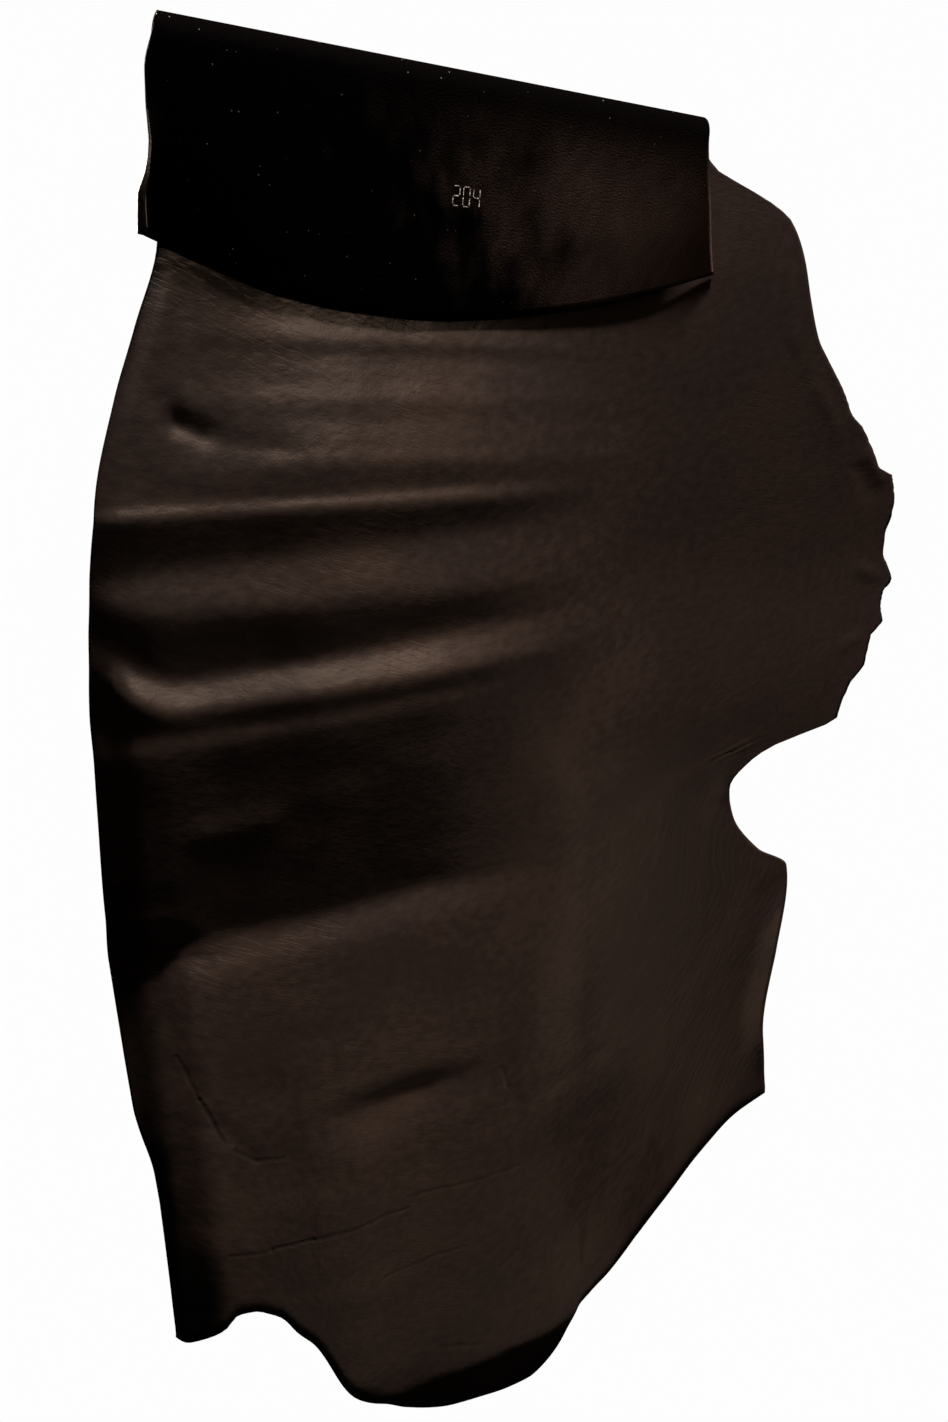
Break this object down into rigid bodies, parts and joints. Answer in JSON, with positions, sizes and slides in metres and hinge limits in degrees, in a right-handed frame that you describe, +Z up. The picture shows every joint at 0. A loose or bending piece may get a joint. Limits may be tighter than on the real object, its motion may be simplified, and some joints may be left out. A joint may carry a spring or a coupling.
{
  "type": "leather hide",
  "caption": "Side of dark brown leather hung over a rail by its rump end, short flap in front and long body behind, with waves, a torn belly edge and a rounded neck.",
  "frame": {"origin": "middle of the fold's crest, on the leather's outer face, where the hide hangs on a rail", "axes": "+Z up, X along the fold with the backbone cut at -X and the belly at +X, the short flap at -Y and the long body at +Y of the rail"},
  "size_m": [0.9288, 0.1267, 1.3654],
  "materials": {
    "leather": "dark brown grain side with a low satin shine, matt near-black flesh side"
  },
  "bodies": {
    "root": {"hide": "leather"}
  },
  "joints": []
}
